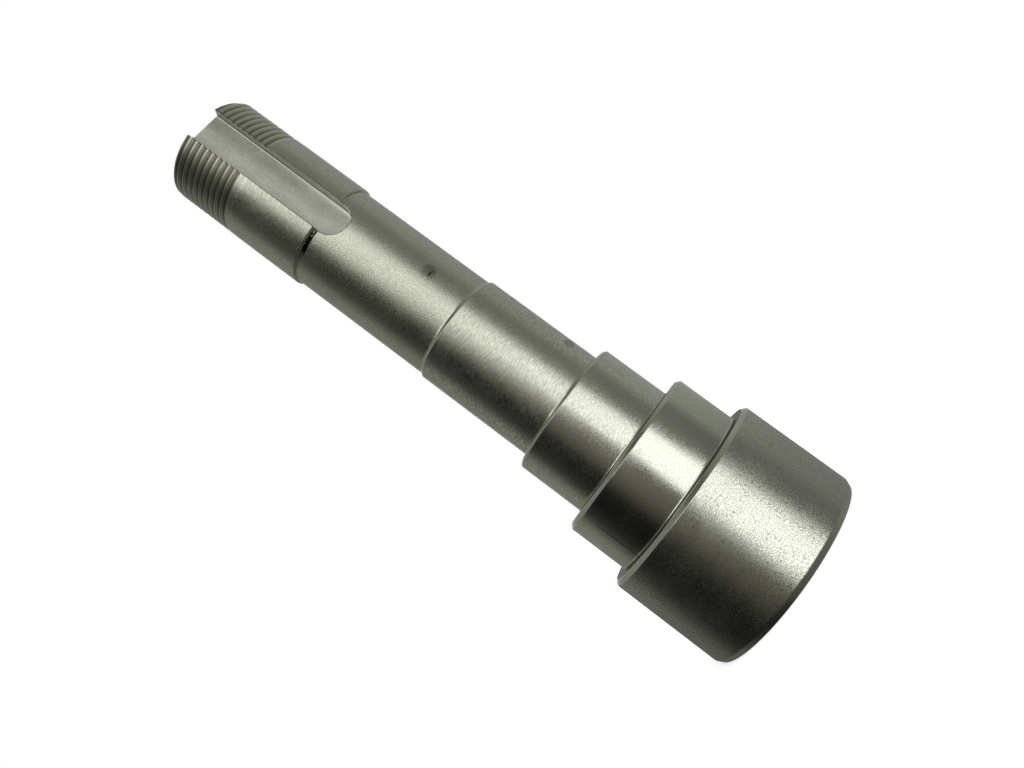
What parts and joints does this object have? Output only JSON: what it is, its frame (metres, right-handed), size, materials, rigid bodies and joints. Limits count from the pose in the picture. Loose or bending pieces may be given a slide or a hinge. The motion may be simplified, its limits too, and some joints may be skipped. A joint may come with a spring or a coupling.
{
  "type": "meat grinder drive shaft",
  "caption": "Stepped steel drive shaft with a threaded and slotted end, ground bearing seats and a head with a square socket.",
  "frame": {"origin": "centre of the head's end face, which the shaft stands on", "axes": "+Z along the shaft's axis from the head to the threaded end; the keyway faces -Y"},
  "size_m": [0.045, 0.045, 0.153],
  "materials": {
    "steel": "turned and ground, satin"
  },
  "bodies": {
    "root": {"drive_shaft": "steel"}
  },
  "joints": []
}
